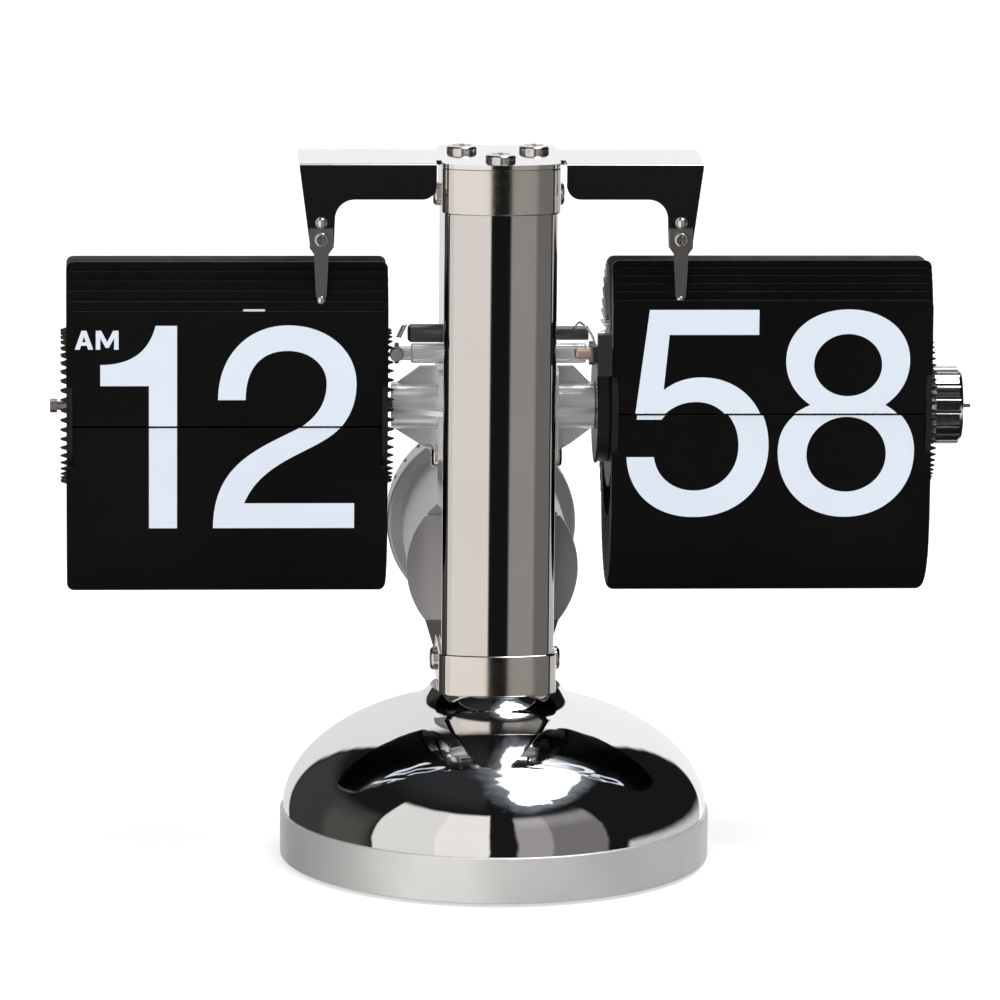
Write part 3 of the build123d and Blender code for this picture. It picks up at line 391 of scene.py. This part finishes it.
# ---------------------------------------------------------------- small pieces
def lathe(name, profile, place, finish, body, steps=48):
    """Turned piece along y, from (radius, along) pairs in millimetres."""
    shape = bmesh.new()
    rings = []
    for radius, along in profile:
        ring = []
        for index in range(steps):
            angle = radians(index * 360 / steps)
            across, up = radius * MM * cos(angle), radius * MM * sin(angle)
            ring.append(shape.verts.new(Vector((across, along * MM, up)) + Vector(place)))
        rings.append(ring)
    for ring, after in zip(rings, rings[1:]):
        for index in range(steps):
            follow = (index + 1) % steps
            shape.faces.new((ring[index], ring[follow], after[follow], after[index]))
    shape.faces.new(rings[0])
    shape.faces.new(rings[-1])
    bmesh.ops.recalc_face_normals(shape, faces=shape.faces[:])
    mesh = bpy.data.meshes.new(name)
    shape.to_mesh(mesh)
    shape.free()
    mesh.materials.append(finish)
    for face in mesh.polygons:
        face.use_smooth = True
    made = bpy.data.objects.new(name, mesh)
    scene.collection.objects.link(made)
    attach(made, body)
    return made


def wire(name, points, radius, finish, body):
    """Round wire through points in millimetres, as a mesh."""
    curve = bpy.data.curves.new(name, "CURVE")
    curve.dimensions = "3D"
    curve.bevel_depth = radius * MM
    curve.bevel_resolution = 3
    curve.use_fill_caps = True
    spline = curve.splines.new("NURBS")
    spline.points.add(len(points) - 1)
    spline.order_u = 3
    spline.use_endpoint_u = True
    spline.resolution_u = 6
    for point, spot in zip(spline.points, points):
        point.co = (*(value * MM for value in spot), 1.0)
    drawn = bpy.data.objects.new(name + "_drawn", curve)
    scene.collection.objects.link(drawn)
    mesh = bpy.data.meshes.new_from_object(drawn)
    bpy.data.objects.remove(drawn)
    mesh.materials.clear()
    mesh.materials.append(finish)
    for face in mesh.polygons:
        face.use_smooth = True
    made = bpy.data.objects.new(name, mesh)
    scene.collection.objects.link(made)
    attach(made, body)
    return made


finger_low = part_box("retainers")[0]
FINGER_X = 40.4 * MM
RIVET_Z = 148.6 * MM
dome_head = ((0.15, -0.85), (0.6, -0.78), (1.0, -0.55), (1.25, -0.2), (1.3, 0.0))
tip_bead = ((0.1, -0.5), (0.5, -0.45), (0.85, -0.25), (1.0, 0.05), (0.9, 0.3), (0.5, 0.45))
for label, way in (("left", -1), ("right", 1)):
    rivet = (way * FINGER_X, finger_low.y, RIVET_Z)
    bead = (way * FINGER_X, finger_low.y + 0.25 * MM, finger_low.z - 0.3 * MM)
    lathe(label + "_finger_rivet", dome_head, rivet, SPRING_WIRE, "frame")
    lathe(label + "_finger_tip", tip_bead, bead, SPRING_WIRE, "frame")

CATCH_PIN = (-23.5 * MM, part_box("catch_arm")[0].y, 119.3 * MM)
lathe("catch_pin_cap", ((1.1, -0.12), (1.4, -0.05), (1.42, 0.1)), CATCH_PIN, STEEL_FACE, "rocker")

# The coil starts above the catch arm, clear of its lift, and climbs towards the pillar.
COIL_TURNS = 7
COIL_STEPS = COIL_TURNS * 8
COIL_R = 0.5
COIL_START = (-22.7, -4.0, 121.3)
COIL_ACROSS = 1.3
COIL_RISE = 2.8
coil = []
for index in range(COIL_STEPS + 1):
    angle = radians(index * 360 * COIL_TURNS / COIL_STEPS)
    share = index / COIL_STEPS
    coil.append((COIL_START[0] + COIL_ACROSS * share + COIL_R * cos(angle),
                 COIL_START[1] + COIL_R * sin(angle), COIL_START[2] + COIL_RISE * share))
wire("catch_spring", coil, 0.19, SPRING_WIRE, "frame")
follower_path = ((17.6, 8.0, 121.0), (18.0, 0.0, 124.0), (18.6, -3.0, 124.6), (20.4, -4.0, 122.9),
                 (21.6, -4.6, 120.6), (22.0, -5.0, 117.8))
wire("follower_spring", follower_path, 0.26, SPRING_WIRE, "frame")

# ---------------------------------------------------------------- floor
FLOOR_HALF = 6.0
floor_mesh = bpy.data.meshes.new("floor")
corners = [(-FLOOR_HALF, -FLOOR_HALF, 0), (FLOOR_HALF, -FLOOR_HALF, 0), (FLOOR_HALF, FLOOR_HALF, 0),
           (-FLOOR_HALF, FLOOR_HALF, 0)]
floor_mesh.from_pydata(corners, [], [(0, 1, 2, 3)])
floor = bpy.data.objects.new("floor", floor_mesh)
scene.collection.objects.link(floor)
floor_mesh.materials.append(material("pale floor", grey(0.55), 0.9, vary=0.01, vary_scale=3.0, bump=0.0,
                                     **{"Emission Color": (1, 1, 1, 1), "Emission Strength": 0.62}))
floor.visible_glossy = False
floor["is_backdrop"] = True

# ---------------------------------------------------------------- studio
# Each panel of the surroundings: azimuths from the front, towards the right, elevations, edge
# softness, brightness and tint.
PANELS = (
    ("left window", -72, -5, -60, 50, 2.0, 0.74, (0.98, 0.96, 0.92)),
    ("left window inner pane", -35, -5, -60, 50, 2.0, 0.13, (1.0, 0.80, 0.78)),
    ("left shelf", -108, -78, -60, 20, 10.0, 0.03, (1.0, 0.95, 0.88)),
    ("right screen", 10, 62, -60, 46, 3.0, 0.16, (1.0, 0.95, 0.91)),
    ("right screen near part", 10, 29, -60, 46, 3.0, 0.15, (1.0, 0.96, 0.94)),
    ("right screen top", 12, 60, 34, 46, 6.0, 0.10, (1.0, 1.0, 1.0)),
    ("right edge glow", 75, 150, -18, -6, 5.0, 0.55, (1.0, 1.0, 1.0)),
    ("backdrop right", 148, 181, -60, 45, 4.0, 0.9, (1.0, 1.0, 1.0)),
    ("backdrop left", -181, -152, -60, 45, 4.0, 0.75, (1.0, 1.0, 1.0)),
    ("left dark wall", -150, -74, -60, 30, 5.0, 0.035, (1.0, 0.95, 0.85)),
    ("left ceiling", -175, -10, 60, 91, 12.0, 0.018, (0.9, 0.95, 1.0)),
)
GAP_LIGHT = 0.009                # the dark rest of the room
# The lamp overhead: its middle and half sizes across a ceiling one unit up, then the glare and the faint
# halo as the inner and outer edge, brightness and tint.
LAMP_MIDDLE = (0.28, 0.10)
LAMP_HALF = (0.24, 0.55)
GLARES = ((0.80, 1.12, 6.0, (0.97, 0.985, 1.0)), (0.90, 1.75, 0.28, (0.80, 0.90, 1.0)))

world = bpy.data.worlds.new("studio")
scene.world = world
world.use_nodes = True
sky = Shader(world.node_tree)
direction = sky.node("ShaderNodeSeparateXYZ", {0: sky.node("ShaderNodeTexCoord").outputs["Generated"]})
toward_x, toward_y, toward_z = direction.outputs
azimuth = sky.math("ARCTAN2", toward_x, sky.math("MULTIPLY", toward_y, -1.0))
elevation = sky.math("ARCSINE", toward_z)


def inside(value, low, high, soft):
    """One within the range, fading to nothing over the soft edge, in degrees."""
    rise = sky.node("ShaderNodeMapRange", {0: value, 1: radians(low - soft), 2: radians(low + soft)},
                    interpolation_type="SMOOTHSTEP").outputs[0]
    fall = sky.node("ShaderNodeMapRange", {0: value, 1: radians(high + soft), 2: radians(high - soft)},
                    interpolation_type="SMOOTHSTEP").outputs[0]
    return sky.math("MULTIPLY", rise, fall)


def glow_node(bright, tint, share):
    """A tinted light, scaled by how much of it a direction sees."""
    light = tuple(bright * channel for channel in tint)
    return sky.node("ShaderNodeVectorMath", {0: light, "Scale": share}, operation="SCALE")


room = None
for _, left, right, low, high, soft, bright, tint in PANELS:
    share = sky.math("MULTIPLY", inside(azimuth, left, right, soft * 0.4),
                     inside(elevation, low, high, soft))
    glow = glow_node(bright, tint, share)
    start = room or sky.node("ShaderNodeCombineXYZ", {0: GAP_LIGHT, 1: GAP_LIGHT, 2: GAP_LIGHT})
    room = sky.node("ShaderNodeVectorMath", {0: start.outputs[0], 1: glow.outputs[0]}, operation="ADD")


def off_lamp(toward, axis):
    """How far a direction meets the ceiling from the lamp's middle, in half sizes of the lamp."""
    met = sky.math("DIVIDE", toward, toward_z)
    return sky.math("DIVIDE", sky.math("SUBTRACT", met, LAMP_MIDDLE[axis]), LAMP_HALF[axis])


across = sky.math("POWER", off_lamp(toward_x, 0), 2.0)
along = sky.math("POWER", off_lamp(toward_y, 1), 2.0)
apart = sky.math("SQRT", sky.math("ADD", across, along))
ragged = sky.noise(sky.node("ShaderNodeTexCoord").outputs["Generated"], 8.0, 2.0)
spread_out = sky.math("ADD", apart, sky.math("MULTIPLY_ADD", ragged, 0.7, -0.35))
above = sky.math("GREATER_THAN", toward_z, 0.3)
for near, far, bright, tint in GLARES:
    share = sky.node("ShaderNodeMapRange", {0: spread_out, 1: far, 2: near},
                     interpolation_type="SMOOTHSTEP").outputs[0]
    share = sky.math("MULTIPLY", share, above)
    glow = glow_node(bright, tint, share)
    room = sky.node("ShaderNodeVectorMath", {0: room.outputs[0], 1: glow.outputs[0]}, operation="ADD")
lit = sky.node("ShaderNodeBackground", {"Color": room.outputs[0], "Strength": 1.0})
pale = sky.node("ShaderNodeBackground", {"Color": (1.0, 1.0, 1.0, 1.0), "Strength": 1.0})
seen = sky.node("ShaderNodeLightPath").outputs["Is Camera Ray"]
both = sky.node("ShaderNodeMixShader", {0: seen, 1: lit.outputs[0], 2: pale.outputs[0]})
sky.node("ShaderNodeOutputWorld", {"Surface": both.outputs[0]})


def lamp(name, place, target, size, power, mirrored=False):
    """Soft square light aimed at a point."""
    light = bpy.data.lights.new(name, "AREA")
    light.size = size
    light.energy = power
    made = bpy.data.objects.new(name, light)
    made.location = place
    made.rotation_euler = (Vector(target) - Vector(place)).to_track_quat("-Z", "Y").to_euler()
    made.visible_glossy = mirrored
    scene.collection.objects.link(made)
    return made


lamp("overhead soft", (0.3, -0.4, 1.6), (0, 0, 0.08), 1.4, 16.0)
lamp("front fill", (-0.8, -1.6, 0.9), (0, 0, 0.08), 1.2, 10.0)

# ---------------------------------------------------------------- camera
CAMERA_REACH = 1.7
CAMERA_TURN = radians(-3.0)
CAMERA_HEIGHT = 0.426
CAMERA_ROLL = radians(0.5)
AIM = Vector((0, 0, 0.085))
camera_data = bpy.data.cameras.new("camera")
camera = bpy.data.objects.new("camera", camera_data)
scene.collection.objects.link(camera)
scene.camera = camera
camera.location = (sin(CAMERA_TURN) * CAMERA_REACH, -cos(CAMERA_TURN) * CAMERA_REACH, CAMERA_HEIGHT)
look = (AIM - camera.location).to_track_quat("-Z", "Y").to_matrix().to_4x4()
tilt = Matrix.Rotation(CAMERA_ROLL, 4, "Z")
camera.matrix_world = Matrix.Translation(camera.location) @ look @ tilt
camera_data.sensor_width = 36.0
camera_data.lens = 274.7
camera_data.shift_x = 0.0033
camera_data.shift_y = -0.0086
camera_data.clip_start = 0.05

bpy.context.view_layer.update()
low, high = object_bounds()
